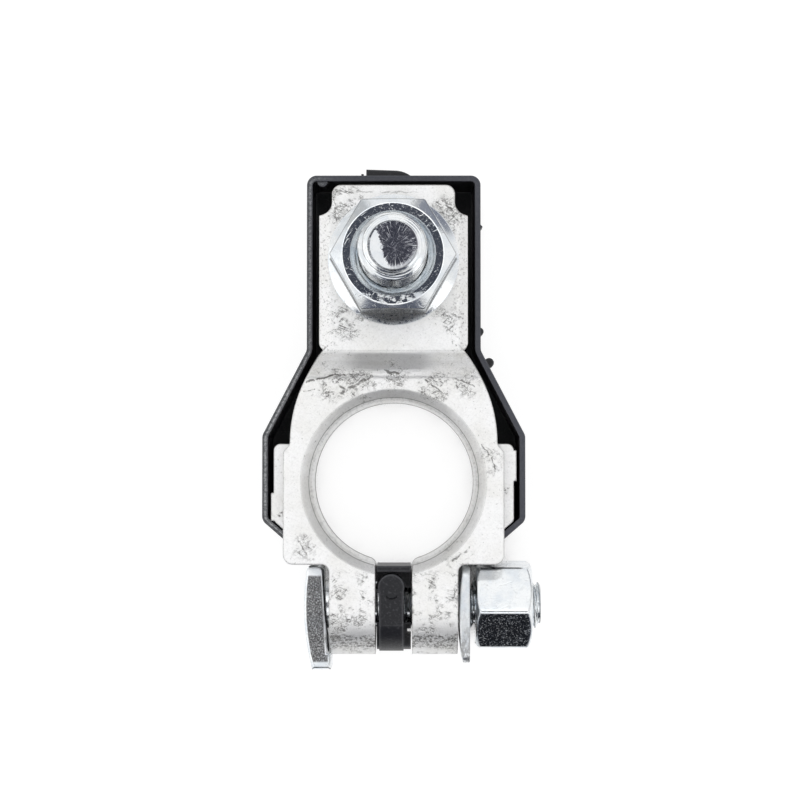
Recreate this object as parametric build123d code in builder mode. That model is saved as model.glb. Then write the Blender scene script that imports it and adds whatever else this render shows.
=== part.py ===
"""Battery terminal clamp: a folded brass clamp with its stud and clamp bolt, in an insulating tray.

Millimetres, +Z up. The origin is on the axis of the post bore, at the clamp's lower face.
The clamp bolt runs along X, and the terminal tab points along +Y.
"""

from build123d import *
from math import atan2, cos, radians, sin, sqrt, tan
import os

os.makedirs("parts", exist_ok=True)

near = 0.01  # how far a corner or edge may stand from the line that picks it

# Folded sheet
sheet = 2.0  # thickness of the stamped sheet
fold_radius = 6.2  # outside of the fold at the end of each ear
clamp_height = 2 * fold_radius

# Post bore
post_radius = 10.0
collar_wall = 1.5
lead_in = 0.4  # how far the mouth opens before the flare
lead_in_depth = 2.0
flare = 0.95  # width and depth of the conical flare
lip_radius = 1.1  # rounded ends of the collar at the slot

# Ears
slot_width = 4.5
ear_width = 5.6
ear_outer = slot_width / 2 + ear_width
bolt_y = -15.1
bolt_z = fold_radius
ear_end = bolt_y - fold_radius

# Ring plate, the upper leaf around the bore
ring_half = 13.45
ring_front = -10.0
ring_corner = 1.2
waist_half = 12.63  # where the shoulders start above the ring plate's sides
waist_y = 4.95
waist_step = 1.6
shoulder_radius = 16.9
neck_half = 8.85
neck_y = 15.5
ear_corner = 0.9  # between the ring plate and the ears

# Joggle and terminal tab
joggle_start = 12.9
joggle_end = 15.7
joggle_foot_bend = 3.0
joggle_head_bend = 1.0
joggle_inner_bend = 0.3
tab_rise = 3.0  # from the ring plate to the tab
tab_half = 9.0
tab_start = 15.85
shoulder_y = 32.3
tab_end = 35.9
tab_end_half = 7.42
tab_bend = 1.4  # outside bend of the folded edges
flange_depth = 4.6  # height of the folded edges
tab_corner = 1.1
shoulder_share = 0.94  # of the step in the tab's width that is rounded
tab_overlap = 1.2  # how far the joggle's sheet runs into the tab
tab_top = clamp_height + tab_rise
tab_under = tab_top - sheet

# Insulating cover
cover_wall = 0.7
cover_floor = 1.0
cover_rim = 10.0  # height of the rim above the clamp's lower face
cover_half = 16.15
cover_neck_half = 10.7
cover_end = 37.8
cover_neck_y = 16.2
cover_side_top = 5.75
cover_side_bottom = -4.7
cover_turn_in = 41.0  # degrees by which the ends of the walls turn in
cover_turn_length = 4.7
cover_corner = 1.2
cover_hole_clearance = 0.6
cover_to_leaf = 0.2

# Features moulded on the cover
tongue_left = -3.43
tongue_slope = 0.2  # where the tongue starts to curve back to the wall
tongue_right = 2.7
tongue_reach = 1.0
tongue_droop = 0.12
nub_x = -3.9
nub_width = 0.3
nub_reach = 0.45
tongue_bottom = 3.5
tongue_top = 8.2
tooth_y = 31.6
tooth_reach = 0.3
bump_y = 18.6
bump_radius = 0.5
bump_reach = 0.4
knob_radius = 0.6
knob_reach = 0.3  # from the wall to the knob's middle
knob_along = 0.14  # share of the way down the slanted wall
lump_x = -8.8
lump_radius = 0.65
lump_drop = 0.3
lug_height = 3.0  # of the tooth, the bump and the knob
lug_drop = 1.2  # of their upper ends below the rim

# Lower leaf
leaf_foot = 10.9  # half width beside the ears
wing_height = 9.9  # the leaf's sides are turned up to here
wing_top = 4.7
wing_land = 0.33  # wider stretch of each wing, left over from the strip it was cut from
wing_clearance = 0.39  # between that stretch and the cover's wall
wing_half = cover_half - cover_wall - wing_clearance - wing_land
wing_reach = 1.33  # beyond the leaf's round far side
leaf_radius = wing_half - wing_reach
wing_corner = 0.8
left_land_top = -1.3
right_land_bottom = 0.15

# Terminal stud
stud_radius = 4.0  # crest of the thread, where it shows
stud_pitch_radius = 3.6  # where the stud's thread and the nut's thread share the space
thread_lead = 0.3  # from the nut's upper face to the first full crest
stud_y = 26.8
stud_above_nut = 8.8
stud_point = 1.2
neck_side = 8.4
neck_clearance = 0.1
head_length = 13.0
head_thickness = 3.0
head_clearance = 0.15
head_corner = 1.0

# Flange nut on the stud
stud_nut_flats = 13.0
stud_nut_height = 8.0
flange_radius = 7.9
flange_rim = 0.8  # height of the flange's rim
flange_cone = 1.2  # rise from the rim to the hexagon
thread_clearance = 0.05
nut_face = 0.92  # flat end face as a share of the width across flats
nut_chamfer = 30.0  # degrees from the end face
stud_nut_sink = 0.9

# Clamp bolt
bolt_radius = 3.0
bolt_point = 0.55
bolt_past_nut = 1.1
bolt_head_top = -10.15
bolt_head_bottom = -22.9
bolt_head_thickness = 2.3
bolt_head_bulge = 0.7
bolt_head_lean = 0.6  # the head's lower end stands nearer to the ear
bolt_head_gap = 0.2  # from its lower end to the ear's side
bolt_head_half_height = 4.1
bolt_head_round = 0.4
hook_start = -20.75
hook_reach = 0.15  # how far the hook reaches past the ear's side
hook_clearance = 0.15

# Plate washer
washer_gap = 0.15
washer_edge = 0.85
washer_crown = 0.45
washer_top = -10.4
washer_bottom = -22.0
washer_half_height = 5.4
washer_corner = 1.2
washer_hole_clearance = 0.3

# Clamp nut
clamp_nut_flats = 10.0
clamp_nut_length = 6.9
clamp_nut_gap = 0.8  # the nut stands loose, off the washer
clamp_nut_turn = 7.0  # degrees from a corner straight up
clamp_nut_sink = 0.5

# Ear spacer
spacer_clearance = 0.15
spacer_front = -10.2
spacer_wall = 0.75
spacer_wall_drop = 1.7  # below the top of the ears
spacer_flank_drop = 3.9
spacer_rib = 3.0
spacer_rib_shift = -0.3
spacer_rib_drop = 0.9
spacer_rib_start = -11.2
spacer_dome = 1.62
spacer_end_clearance = 0.4
spacer_foot = 0.6
spacer_hole_clearance = 0.1
notch_width = 0.45
notch_places = (-14.4, -18.4)
notch_lengths = (1.6, 0.8)


def across_corners(flats):
    return flats / cos(radians(30))


# Side view of the folded sheet: lower leaf, fold at the ears, upper leaf and joggle
joggle_angle = atan2(tab_rise, joggle_end - joggle_start)
inner_shift = sheet * tan(joggle_angle / 2)
upper_end = tab_start + tab_overlap
inner_fold = fold_radius - sheet
with BuildSketch(Plane.YZ) as sheet_side:
    with BuildLine():
        lower_line = Line((leaf_radius, 0), (bolt_y, 0))
        fold_line = ThreePointArc(lower_line @ 1, (ear_end, bolt_z), (bolt_y, clamp_height))
        upper_line = FilletPolyline(
            fold_line @ 1,
            (joggle_start, clamp_height),
            (joggle_end, tab_top),
            (upper_end, tab_top),
            radius=(joggle_foot_bend, joggle_head_bend),
        )
        inner_line = FilletPolyline(
            (upper_end, tab_under),
            (joggle_end + inner_shift, tab_under),
            (joggle_start + inner_shift, clamp_height - sheet),
            (bolt_y, clamp_height - sheet),
            radius=(joggle_inner_bend, joggle_foot_bend + sheet),
        )
        inner_arc = ThreePointArc(inner_line @ 1, (bolt_y - inner_fold, bolt_z), (bolt_y, sheet))
        Polyline(inner_arc @ 1, (leaf_radius, sheet), (leaf_radius, 0))
        Line(upper_line @ 1, inner_line @ 0)
    make_face()

# Both ears from above
with BuildSketch() as ears:
    with GridLocations(slot_width + ear_width, 0, 2, 1):
        with Locations((0, (ring_front + ear_end) / 2)):
            Rectangle(ear_width, ring_front - ear_end)

# Upper leaf from above
with BuildSketch() as upper_outline:
    with BuildLine():
        front = Line((0, ring_front), (ring_half, ring_front))
        flank = Line(front @ 1, (ring_half, waist_y - waist_step))
        shoulder = RadiusArc((waist_half, waist_y), (neck_half, neck_y), -shoulder_radius)
        Spline(flank @ 1, shoulder @ 0, tangents=(flank % 1, shoulder % 0))
        Polyline(shoulder @ 1, (tab_end_half, tab_start + tab_overlap), (0, tab_start + tab_overlap))
        mirror(about=Plane.YZ)
    make_face()
    add(ears.sketch)
    fillet(upper_outline.vertices().filter_by(lambda v: v.Y < 0 and abs(v.X) > ring_half - near), ring_corner)
    roots = upper_outline.vertices().filter_by(lambda v: abs(v.Y - ring_front) < near)
    fillet(roots.filter_by(lambda v: abs(abs(v.X) - ear_outer) < near), ear_corner)

# Lower leaf from above: its chamfered corners follow the cover's turned-in walls
turn_slope = tan(radians(cover_turn_in))
leaf_offset = (cover_wall + cover_to_leaf) / cos(radians(cover_turn_in))
foot_y = cover_side_bottom + leaf_offset - (cover_half - leaf_foot) * turn_slope
wing_bottom = cover_side_bottom + leaf_offset - (cover_half - wing_half) * turn_slope
wing_root = sqrt(leaf_radius**2 - wing_top**2)
with BuildSketch() as lower_outline:
    with BuildLine():
        foot = Polyline(
            (0, ring_front),
            (leaf_foot, ring_front),
            (leaf_foot, foot_y),
            (wing_half, wing_bottom),
            (wing_half, wing_top),
            (wing_root, wing_top),
        )
        RadiusArc(foot @ 1, (0, leaf_radius), -leaf_radius)
        mirror(about=Plane.YZ)
    make_face()
    fillet(lower_outline.vertices().filter_by(lambda v: abs(v.X) > wing_half - near), wing_corner)
    add(ears.sketch)
    with Locations((wing_land / 2 - wing_half, (wing_bottom + left_land_top) / 2)):
        Rectangle(3 * wing_land, left_land_top - wing_bottom)
    with Locations((wing_half - wing_land / 2, (right_land_bottom + wing_top) / 2 - wing_corner / 2)):
        Rectangle(3 * wing_land, wing_top - wing_corner - right_land_bottom)

# Wings from above, one sheet thick
with BuildSketch() as wings:
    add(lower_outline.sketch)
    Rectangle(2 * (wing_half - sheet), 2 * (leaf_radius - ear_end), mode=Mode.SUBTRACT)

# Bore and slot from above, with the rounded ends of the collar
with BuildSketch() as mouth:
    Circle(post_radius)
    with Locations((0, ear_end)):
        Rectangle(slot_width, -2 * ear_end)
    lips = mouth.vertices().filter_by(lambda v: ring_front < v.Y < 0)
    fillet(lips, lip_radius)

# Tab with its folded edges
with BuildPart() as tab:
    with BuildSketch(Plane.XZ.offset(-tab_start)) as channel:
        with Locations((0, tab_top - flange_depth / 2)):
            Rectangle(2 * tab_half, flange_depth)
        fillet(channel.vertices().group_by(Axis.Y)[-1], tab_bend)
        with Locations((0, tab_under - flange_depth)):
            Rectangle(2 * (tab_half - sheet), 2 * flange_depth, mode=Mode.SUBTRACT)
    extrude(amount=tab_start - shoulder_y)
    with BuildSketch(Plane.XZ.offset(-shoulder_y)) as plate:
        with Locations((0, tab_top - sheet / 2)):
            Rectangle(2 * tab_half, sheet)
        fillet(plate.vertices().group_by(Axis.Y)[-1], tab_bend)
    extrude(amount=shoulder_y - tab_end)
    with BuildSketch() as tab_outline:
        with Locations((0, (tab_start + shoulder_y) / 2)):
            Rectangle(2 * tab_half, shoulder_y - tab_start)
        fillet(tab_outline.vertices().group_by(Axis.Y)[0], tab_corner)
        with Locations((0, (tab_start + tab_end) / 2)):
            Rectangle(2 * tab_end_half, tab_end - tab_start)
        fillet(tab_outline.vertices().group_by(Axis.Y)[-1], tab_corner)
        steps = tab_outline.vertices().filter_by(lambda v: abs(v.Y - shoulder_y) < near)
        steps = steps.filter_by(lambda v: abs(v.X) < tab_half - near)
        fillet(steps, (tab_half - tab_end_half) * shoulder_share)
    extrude(amount=tab_top, mode=Mode.INTERSECT)

with BuildPart() as leaves:
    extrude(upper_outline.sketch.moved(Location((0, 0, bolt_z))), amount=tab_top)
    extrude(lower_outline.sketch, amount=bolt_z)

with BuildPart() as clamp_body:
    extrude(sheet_side.sketch, amount=cover_half, both=True)
    add(leaves.part, mode=Mode.INTERSECT)
    add(tab.part)
    extrude(wings.sketch, amount=wing_height)
    with BuildSketch():
        Circle(post_radius + collar_wall)
    extrude(amount=clamp_height)
    extrude(mouth.sketch, amount=clamp_height, mode=Mode.SUBTRACT)
    with BuildSketch(Plane.XZ) as mouth_section:
        with BuildLine():
            Polyline(
                (0, clamp_height),
                (post_radius + lead_in + flare, clamp_height),
                (post_radius + lead_in, clamp_height - flare),
                (post_radius, clamp_height - lead_in_depth),
                (0, clamp_height - lead_in_depth),
                close=True,
            )
        make_face()
    revolve(axis=Axis.Z, mode=Mode.SUBTRACT)
    with BuildSketch(Plane.XY.offset(tab_under)):
        with Locations((0, stud_y)):
            Rectangle(neck_side + 2 * neck_clearance, neck_side + 2 * neck_clearance)
    extrude(amount=sheet, mode=Mode.SUBTRACT)

clamp_body.part.label = "clamp_body"
export_step(clamp_body.part, "parts/clamp_body.step")

# Terminal stud: a plate head held from turning by the folded edges, a square neck and the thread
stud_nut_top = tab_top + stud_nut_height
stud_end = stud_nut_top + stud_above_nut
thread_start = stud_nut_top + thread_lead
head_half = tab_half - sheet - head_clearance
with BuildPart() as terminal_stud:
    with BuildSketch(Plane.XY.offset(tab_under - head_thickness)) as stud_head:
        with Locations((0, stud_y)):
            Rectangle(2 * head_half, head_length)
        chamfer(stud_head.vertices(), head_corner)
    extrude(amount=head_thickness)
    with BuildSketch(Plane.XY.offset(tab_under)):
        with Locations((0, stud_y)):
            Rectangle(neck_side, neck_side)
    extrude(amount=sheet)
    with BuildSketch(Plane.XY.offset(tab_top)):
        with Locations((0, stud_y)):
            Circle(stud_pitch_radius)
    extrude(amount=thread_start - tab_top)
    with BuildSketch(Plane.XY.offset(thread_start)):
        with Locations((0, stud_y)):
            Circle(stud_radius)
    extrude(amount=stud_end - thread_start)
    chamfer(terminal_stud.edges().group_by(Axis.Z)[-1], stud_point)

terminal_stud.part.label = "terminal_stud"
export_step(terminal_stud.part, "parts/terminal_stud.step")

# Flange nut: hexagon with a conical flange, corners along X
stud_axis = Axis((0, stud_y, 0), (0, 0, 1))
nut_corner = across_corners(stud_nut_flats) / 2
nut_face_radius = nut_face * stud_nut_flats / 2
nut_drop = (nut_corner - nut_face_radius) * tan(radians(nut_chamfer))
with BuildPart() as flange_nut:
    with BuildSketch(Plane.XY.offset(tab_top)):
        with Locations((0, stud_y)):
            RegularPolygon(nut_corner, 6)
    extrude(amount=stud_nut_height)
    with BuildSketch(Plane.YZ):
        with BuildLine():
            Polyline(
                (stud_y, tab_top),
                (stud_y + nut_corner, tab_top),
                (stud_y + nut_corner, stud_nut_top - nut_drop),
                (stud_y + nut_face_radius, stud_nut_top),
                (stud_y, stud_nut_top),
                close=True,
            )
        make_face()
    revolve(axis=stud_axis, mode=Mode.INTERSECT)
    with BuildSketch(Plane.YZ):
        with BuildLine():
            Polyline(
                (stud_y, tab_top),
                (stud_y + flange_radius, tab_top),
                (stud_y + flange_radius, tab_top + flange_rim),
                (stud_y + stud_nut_flats / 2, tab_top + flange_rim + flange_cone),
                (stud_y, tab_top + flange_rim + flange_cone),
                close=True,
            )
        make_face()
    revolve(axis=stud_axis)
    with Locations((0, stud_y, stud_nut_top)):
        CounterSinkHole(
            radius=stud_pitch_radius + thread_clearance,
            counter_sink_radius=stud_radius + stud_nut_sink,
            depth=stud_nut_height,
            counter_sink_angle=90,
        )

flange_nut.part.label = "flange_nut"
export_step(flange_nut.part, "parts/flange_nut.step")

# Clamp bolt: an arched plate head hooked against the ear, and a shank along X
washer_outer = ear_outer + washer_gap + washer_edge + washer_crown
nut_start = washer_outer + clamp_nut_gap
nut_end = nut_start + clamp_nut_length
bolt_end = nut_end + bolt_past_nut
inner_low = -ear_outer - bolt_head_gap
inner_high = inner_low - bolt_head_lean
head_middle = (bolt_head_top + bolt_head_bottom) / 2
outer_middle = (inner_low + inner_high) / 2 - bolt_head_thickness - bolt_head_bulge / 2
hook_inner = -ear_outer + hook_reach
with BuildPart() as clamp_bolt:
    with BuildSketch(Plane.XY.offset(bolt_z - bolt_head_half_height)) as bolt_head:
        with BuildLine():
            bulge = ThreePointArc(
                (inner_high - bolt_head_thickness + bolt_head_bulge / 2, bolt_head_top),
                (outer_middle, head_middle),
                (inner_low - bolt_head_thickness + bolt_head_bulge / 2, bolt_head_bottom),
            )
            Polyline(
                bulge @ 1,
                (hook_inner, bolt_head_bottom),
                (hook_inner, hook_start),
                (inner_low, hook_start),
                (inner_high, bolt_head_top),
                bulge @ 0,
            )
        make_face()
        ends = bolt_head.vertices().group_by(Axis.Y)
        fillet(ends[-1], bolt_head_thickness / 3)
        fillet(ends[0], bolt_head_round)
    extrude(amount=2 * bolt_head_half_height)
    with BuildSketch(Plane.YZ.offset(-ear_outer - hook_reach)):
        with Locations((bolt_y, bolt_z)):
            Circle(fold_radius + hook_clearance)
    extrude(amount=2 * hook_reach + sheet, mode=Mode.SUBTRACT)
    with BuildSketch(Plane.YZ.offset(outer_middle + bolt_head_thickness / 2)):
        with Locations((bolt_y, bolt_z)):
            Circle(bolt_radius)
    extrude(amount=bolt_end - outer_middle - bolt_head_thickness / 2)
    chamfer(clamp_bolt.edges().group_by(Axis.X)[-1], bolt_point)

clamp_bolt.part.label = "clamp_bolt"
export_step(clamp_bolt.part, "parts/clamp_bolt.step")

# Plate washer: flat towards the nut, crowned towards the ear
washer_inner = ear_outer + washer_gap
washer_middle = (washer_top + washer_bottom) / 2
with BuildPart() as plate_washer:
    with BuildSketch(Plane.XY.offset(bolt_z - washer_half_height)):
        with BuildLine():
            crown = ThreePointArc(
                (washer_outer - washer_edge, washer_top),
                (washer_inner, washer_middle),
                (washer_outer - washer_edge, washer_bottom),
            )
            Polyline(crown @ 1, (washer_outer, washer_bottom), (washer_outer, washer_top), crown @ 0)
        make_face()
    extrude(amount=2 * washer_half_height)
    fillet(plate_washer.edges().filter_by(Axis.X), washer_corner)
    with BuildSketch(Plane.YZ.offset(washer_inner)):
        with Locations((bolt_y, bolt_z)):
            Circle(bolt_radius + washer_hole_clearance)
    extrude(amount=washer_outer - washer_inner, mode=Mode.SUBTRACT)

plate_washer.part.label = "plate_washer"
export_step(plate_washer.part, "parts/plate_washer.step")

# Clamp nut: hexagon chamfered at both ends, a corner almost straight up
bolt_axis = Axis((0, bolt_y, bolt_z), (1, 0, 0))
clamp_corner = across_corners(clamp_nut_flats) / 2
clamp_face_radius = nut_face * clamp_nut_flats / 2
clamp_drop = (clamp_corner - clamp_face_radius) * tan(radians(nut_chamfer))
with BuildPart() as clamp_nut:
    with BuildSketch(Plane.YZ.offset(nut_start)):
        with Locations((bolt_y, bolt_z)):
            RegularPolygon(clamp_corner, 6, rotation=90 + clamp_nut_turn)
    extrude(amount=clamp_nut_length)
    with BuildSketch(Plane.XY.offset(bolt_z)):
        with BuildLine():
            Polyline(
                (nut_start, bolt_y),
                (nut_start, bolt_y + clamp_face_radius),
                (nut_start + clamp_drop, bolt_y + clamp_corner),
                (nut_end - clamp_drop, bolt_y + clamp_corner),
                (nut_end, bolt_y + clamp_face_radius),
                (nut_end, bolt_y),
                close=True,
            )
        make_face()
    revolve(axis=bolt_axis, mode=Mode.INTERSECT)
    with Locations(Plane.YZ.offset(nut_end)):
        with Locations((bolt_y, bolt_z)):
            CounterSinkHole(
                radius=bolt_radius + thread_clearance,
                counter_sink_radius=bolt_radius + clamp_nut_sink,
                depth=clamp_nut_length,
                counter_sink_angle=90,
            )

clamp_nut.part.label = "clamp_nut"
export_step(clamp_nut.part, "parts/clamp_nut.step")

# Ear spacer: a moulded block on the bolt, with a wall to the bore and a rib along its top
spacer_half = slot_width / 2 - spacer_clearance
spacer_end_radius = fold_radius - spacer_end_clearance
flank_top = clamp_height - spacer_flank_drop
rib_top = clamp_height - spacer_rib_drop
with BuildPart() as ear_spacer:
    with BuildSketch(Plane.YZ):
        with BuildLine():
            Polyline(
                (bolt_y, spacer_foot),
                (spacer_front, spacer_foot),
                (spacer_front, flank_top),
                (bolt_y, flank_top),
                close=True,
            )
        make_face()
        with Locations((bolt_y, bolt_z)):
            Circle(bolt_z - spacer_foot)
        with Locations((bolt_y, flank_top + fold_radius)):
            Rectangle(4 * fold_radius, 2 * fold_radius, mode=Mode.SUBTRACT)
    extrude(amount=spacer_half, both=True)
    with BuildSketch(Plane.XY.offset(spacer_foot)):
        with Locations((0, spacer_front - spacer_wall / 2)):
            Rectangle(2 * spacer_half, spacer_wall)
    extrude(amount=clamp_height - spacer_wall_drop - spacer_foot)
    with BuildSketch(Plane.XY.offset(bolt_z)):
        with Locations((spacer_rib_shift, (spacer_rib_start - spacer_dome + ear_end) / 2)):
            Rectangle(spacer_rib, spacer_rib_start - spacer_dome - ear_end)
        with Locations((spacer_rib_shift, spacer_rib_start - spacer_dome)):
            Circle(spacer_dome)
    extrude(amount=rib_top - bolt_z)
    with BuildSketch(Plane.YZ):
        with Locations((bolt_y, bolt_z)):
            Circle(spacer_end_radius)
        with Locations(((bolt_y + spacer_front) / 2, bolt_z)):
            Rectangle(spacer_front - bolt_y, 2 * fold_radius)
        with Locations((spacer_front + fold_radius, bolt_z)):
            Rectangle(2 * fold_radius, 2 * fold_radius, mode=Mode.SUBTRACT)
    extrude(amount=slot_width, both=True, mode=Mode.INTERSECT)
    with BuildSketch(Plane.YZ):
        with Locations((bolt_y, bolt_z)):
            Circle(bolt_radius + spacer_hole_clearance)
    extrude(amount=slot_width, both=True, mode=Mode.SUBTRACT)
    for notch_y, notch_length in zip(notch_places, notch_lengths):
        with BuildSketch():
            with Locations((spacer_half - notch_width / 2, notch_y)):
                Rectangle(notch_width, notch_length)
        extrude(amount=clamp_height, mode=Mode.SUBTRACT)

ear_spacer.part.label = "ear_spacer"
export_step(ear_spacer.part, "parts/ear_spacer.step")

# Insulating cover: an open tray that follows the clamp, open towards the ears
turn_x = cover_half - cover_turn_length * cos(radians(cover_turn_in))
turn_y = cover_side_bottom - cover_turn_length * sin(radians(cover_turn_in))
cover_points = [
    (turn_x, turn_y),
    (cover_half, cover_side_bottom),
    (cover_half, cover_side_top),
    (cover_neck_half, cover_neck_y),
    (cover_neck_half, cover_end),
    (-cover_neck_half, cover_end),
    (-cover_neck_half, cover_neck_y),
    (-cover_half, cover_side_top),
    (-cover_half, cover_side_bottom),
    (-turn_x, turn_y),
]
knob_x = cover_neck_half + (cover_half - cover_neck_half) * knob_along
knob_y = cover_neck_y - (cover_neck_y - cover_side_top) * knob_along
with BuildPart() as insulating_cover:
    with BuildSketch(Plane.XY.offset(-cover_floor)):
        with BuildLine():
            outline = FilletPolyline(*cover_points, radius=cover_corner)
            Line(outline @ 1, outline @ 0)
        make_face()
        Circle(post_radius + cover_hole_clearance, mode=Mode.SUBTRACT)
    extrude(amount=cover_floor)
    with BuildSketch(Plane.XY.offset(-cover_floor)):
        with BuildLine():
            FilletPolyline(*cover_points, radius=cover_corner)
            offset(amount=cover_wall, side=Side.LEFT)
        make_face()
    extrude(amount=cover_floor + cover_rim)
    with BuildSketch(Plane.XY.offset(tongue_bottom)):
        with BuildLine():
            tongue = Polyline(
                (tongue_left, cover_end - cover_wall / 2),
                (tongue_left, cover_end + tongue_reach),
                (tongue_slope, cover_end + tongue_reach - tongue_droop),
            )
            tongue_curve = TangentArc(tongue @ 1, (tongue_right, cover_end - cover_wall / 2), tangent=tongue % 1)
            Line(tongue_curve @ 1, tongue @ 0)
        make_face()
        with Locations((nub_x, cover_end + nub_reach / 2 - cover_wall / 4)):
            Rectangle(nub_width, nub_reach + cover_wall / 2)
    extrude(amount=tongue_top - tongue_bottom)
    with BuildSketch(Plane.XY.offset(cover_rim - lug_drop - lug_height)):
        with Locations((cover_neck_half, tooth_y)):
            RegularPolygon(tooth_reach, 4)
        with Locations((cover_neck_half + bump_reach - bump_radius, bump_y)):
            Circle(bump_radius)
        with Locations((knob_x + knob_reach, knob_y)):
            Circle(knob_radius)
    extrude(amount=lug_height)
    with BuildSketch(Plane.XY.offset(cover_rim - lug_height)):
        with Locations((lump_x, cover_end - cover_wall)):
            Circle(lump_radius)
        with Locations((lump_x, cover_end)):
            Rectangle(4 * lump_radius, cover_wall, mode=Mode.SUBTRACT)
    extrude(amount=lug_height - lump_drop)

insulating_cover.part.label = "insulating_cover"
export_step(insulating_cover.part, "parts/insulating_cover.step")
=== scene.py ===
from math import atan2, cos, hypot, pi, radians, sin, tan

import bpy
import bmesh
from mathutils import Matrix, Vector


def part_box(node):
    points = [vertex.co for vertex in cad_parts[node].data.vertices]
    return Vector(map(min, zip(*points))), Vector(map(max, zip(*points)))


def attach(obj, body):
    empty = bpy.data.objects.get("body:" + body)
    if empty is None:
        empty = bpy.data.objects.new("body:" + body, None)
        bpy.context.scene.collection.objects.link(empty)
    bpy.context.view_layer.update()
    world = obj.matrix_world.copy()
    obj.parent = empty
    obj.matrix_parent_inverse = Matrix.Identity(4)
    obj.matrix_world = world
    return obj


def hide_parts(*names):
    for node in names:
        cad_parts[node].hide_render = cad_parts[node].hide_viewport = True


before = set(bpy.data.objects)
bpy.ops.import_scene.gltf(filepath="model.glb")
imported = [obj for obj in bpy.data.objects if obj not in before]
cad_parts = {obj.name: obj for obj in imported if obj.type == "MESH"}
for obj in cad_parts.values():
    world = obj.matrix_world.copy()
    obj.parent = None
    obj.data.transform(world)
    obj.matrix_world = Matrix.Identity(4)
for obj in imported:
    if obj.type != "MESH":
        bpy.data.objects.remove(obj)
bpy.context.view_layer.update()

mm = 0.001
upAxis = Vector((0, 0, 1))
boltAxis = Vector((1, 0, 0))


# Shader sums
class Val:  # one socket, ready for use in sums
    def __init__(self, mat, socket):
        self.mat, self.socket = mat, socket

    def op(self, kind, *others, clamp=False):
        inputs = dict(enumerate((self, *others)))
        return self.mat.add("Math", {"operation": kind, "use_clamp": clamp}, inputs)

    def __add__(self, other):
        return self.op("ADD", other)

    def __mul__(self, other):
        return self.op("MULTIPLY", other)

    def __sub__(self, other):
        return self.op("SUBTRACT", other)

    def __rsub__(self, other):
        return self.mat.add("Math", {"operation": "SUBTRACT"}, {0: other, 1: self})

    def __truediv__(self, other):
        return self.op("DIVIDE", other)

    def __pow__(self, other):
        return self.op("POWER", other)

    def __neg__(self):
        return self.op("MULTIPLY", -1.0)

    def __abs__(self):
        return self.op("ABSOLUTE")

    __radd__ = __add__
    __rmul__ = __mul__

    def high(self, other):  # the larger of the two
        return self.op("MAXIMUM", other)

    def clip(self):  # kept between 0 and 1
        return self.op("ADD", 0.0, clamp=True)

    def ramp(self, start, end, first=0.0, last=1.0):  # smooth step from start to end
        inputs = {"Value": self, "From Min": start, "From Max": end, "To Min": first, "To Max": last}
        return self.mat.add("MapRange", {"interpolation_type": "SMOOTHSTEP"}, inputs)


class Finish:  # a node material, or the world
    def __init__(self, name, world=None):
        holder = world or bpy.data.materials.new(name)
        holder.use_nodes = True
        self.holder, self.tree = holder, holder.node_tree
        self.tree.nodes.clear()

    def add(self, kind, settings=None, inputs=None, out=0):
        node = self.tree.nodes.new("ShaderNode" + kind)
        for key, value in (settings or {}).items():
            setattr(node, key, value)
        for key, value in (inputs or {}).items():
            socket = node.inputs[key]
            if isinstance(value, Val):
                self.tree.links.new(value.socket, socket)
            else:
                socket.default_value = value
        return Val(self, node.outputs[out]) if len(node.outputs) else None

    def place(self, scale=(1, 1, 1), turn=(0, 0, 0), shift=(0, 0, 0)):  # object coordinates in millimetres
        here = self.add("TexCoord", out="Object")
        rotated = self.add("Mapping", {"vector_type": "POINT"},
                           {"Vector": here, "Rotation": [radians(a) for a in turn], "Scale": (1 / mm,) * 3})
        return self.add("Mapping", {"vector_type": "POINT"},
                        {"Vector": rotated, "Scale": scale, "Location": shift})

    def split(self, vector):
        node = self.tree.nodes.new("ShaderNodeSeparateXYZ")
        self.tree.links.new(vector.socket, node.inputs[0])
        return [Val(self, node.outputs[i]) for i in range(3)]

    def noise(self, where, scale, detail=3.0, rough=0.55, warp=0.0):
        inputs = {"Vector": where, "Scale": scale, "Detail": detail, "Roughness": rough, "Distortion": warp}
        return self.add("TexNoise", {"noise_dimensions": "3D"}, inputs)

    def mix(self, factor, first, second):
        return self.add("Mix", {"data_type": "RGBA"}, {0: factor, 6: first, 7: second}, out=2)

    def bump(self, height, size, strength, normal):
        inputs = {"Height": height, "Distance": size * mm, "Strength": strength, "Normal": normal}
        return self.add("Bump", {}, inputs)

    def softEdges(self, radius):  # rounds the shading where faces meet
        return self.add("Bevel", {"samples": 6}, {"Radius": radius * mm})

    def edges(self, radius, start, end):  # 1 along the edges, 0 on the faces
        normals = {0: self.softEdges(radius), 1: self.add("NewGeometry", out="Normal")}
        facing = self.add("VectorMath", {"operation": "DOT_PRODUCT"}, normals, out=1)
        return (1.0 - facing).ramp(start, end)

    def surface(self, **inputs):
        named = {key.replace("_", " "): value for key, value in inputs.items()}
        self.add("OutputMaterial", {}, {"Surface": self.add("BsdfPrincipled", {}, named)})
        return self.holder


def grey(level, tint=(1.0, 1.0, 1.0)):
    return (level * tint[0], level * tint[1], level * tint[2], 1.0)


def contour(finish, where, scale, width, warp=0.0):  # a thin line where a noise crosses its middle
    wander = finish.noise(where, scale, detail=1.5, rough=0.45, warp=warp)
    return 1.0 - abs(wander - 0.5).ramp(0.0, width)


def scratched(finish, turn, length, width, start, shift=(0, 0, 0), warp=0.0):  # short marks, all one way
    where = finish.place(scale=(1 / length, 1 / width, 1 / width), turn=(0, 0, turn), shift=shift)
    return finish.noise(where, 1.0, detail=2.0, rough=0.5, warp=warp).ramp(start, start + 0.045)


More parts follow.
